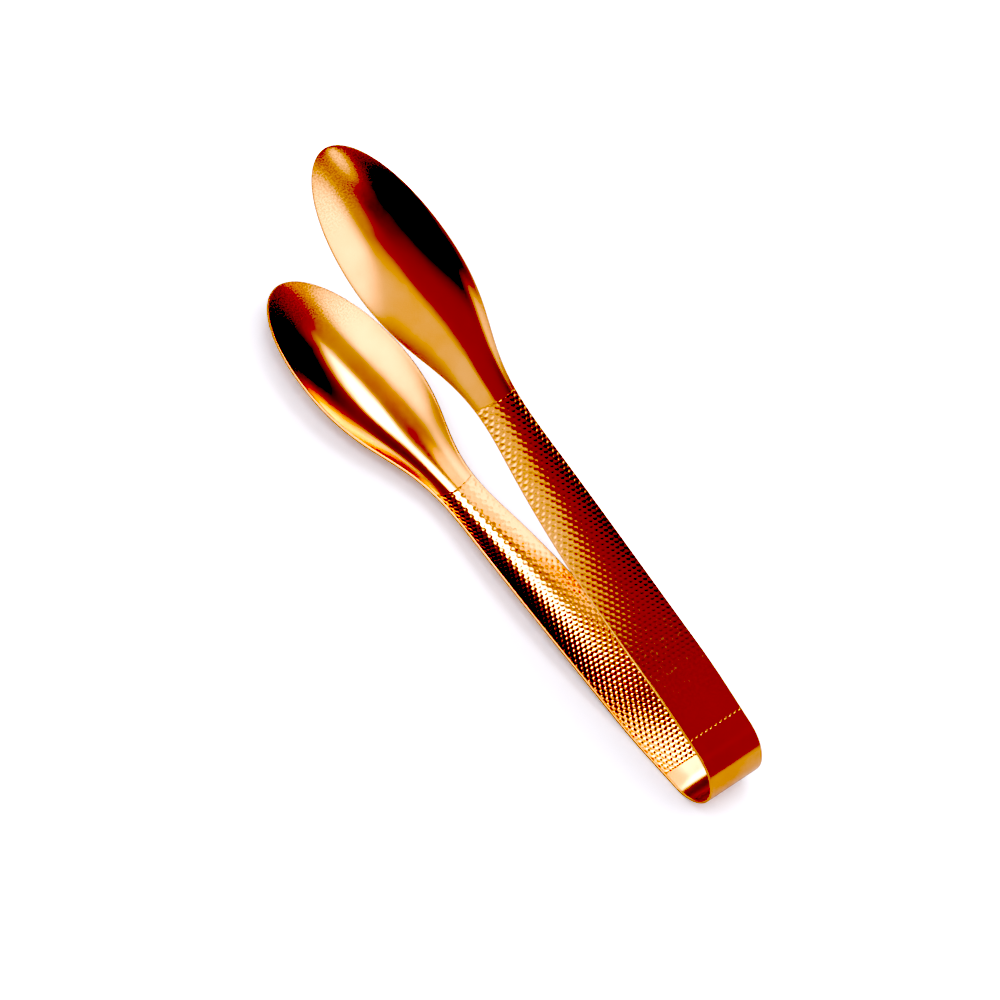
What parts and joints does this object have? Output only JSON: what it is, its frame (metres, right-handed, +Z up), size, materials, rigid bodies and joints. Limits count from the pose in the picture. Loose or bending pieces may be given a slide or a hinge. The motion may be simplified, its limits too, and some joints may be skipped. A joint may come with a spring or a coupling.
{
  "type": "ice tongs",
  "caption": "One-piece spring tongs for ice: a folded copper-plated steel strip with dimpled grips and two leaf-shaped spoons.",
  "frame": {"origin": "on the table, under the middle of the bounding box, with the tongs lying on the lower arm", "axes": "+X from the bow to the spoon tips, +Y across the strip, +Z up from the lower arm to the upper arm"},
  "size_m": [0.1816, 0.0296, 0.0721],
  "materials": {
    "polished_copper": "polished copper plate on steel",
    "dimpled_copper": "polished copper plate over an embossed field of round dimples"
  },
  "bodies": {
    "lower_arm": {"lower_leg": "polished_copper", "lower_grip": "dimpled_copper", "lower_waist": "polished_copper", "lower_spoon": "polished_copper"},
    "bow": {"bow": "polished_copper"},
    "upper_arm": {"upper_leg": "polished_copper", "upper_grip": "dimpled_copper", "upper_waist": "polished_copper", "upper_spoon": "polished_copper"}
  },
  "joints": [
    {"name": "lower_bend", "type": "hinge", "parent": "lower_arm", "child": "bow", "pos_m": [-0.08047, 0, 0.0004], "axis": [0, 1, 0], "range_deg": [0, 10.9], "stiffness_Nm_per_rad": 1.5},
    {"name": "upper_bend", "type": "hinge", "parent": "bow", "child": "upper_arm", "pos_m": [-0.08379, 0, 0.01963], "axis": [0, 1, 0], "range_deg": [0, 10.9], "stiffness_Nm_per_rad": 1.5}
  ],
  "couplings": [
    {"joint": "upper_bend", "follows": "lower_bend", "ratio": 1}
  ]
}
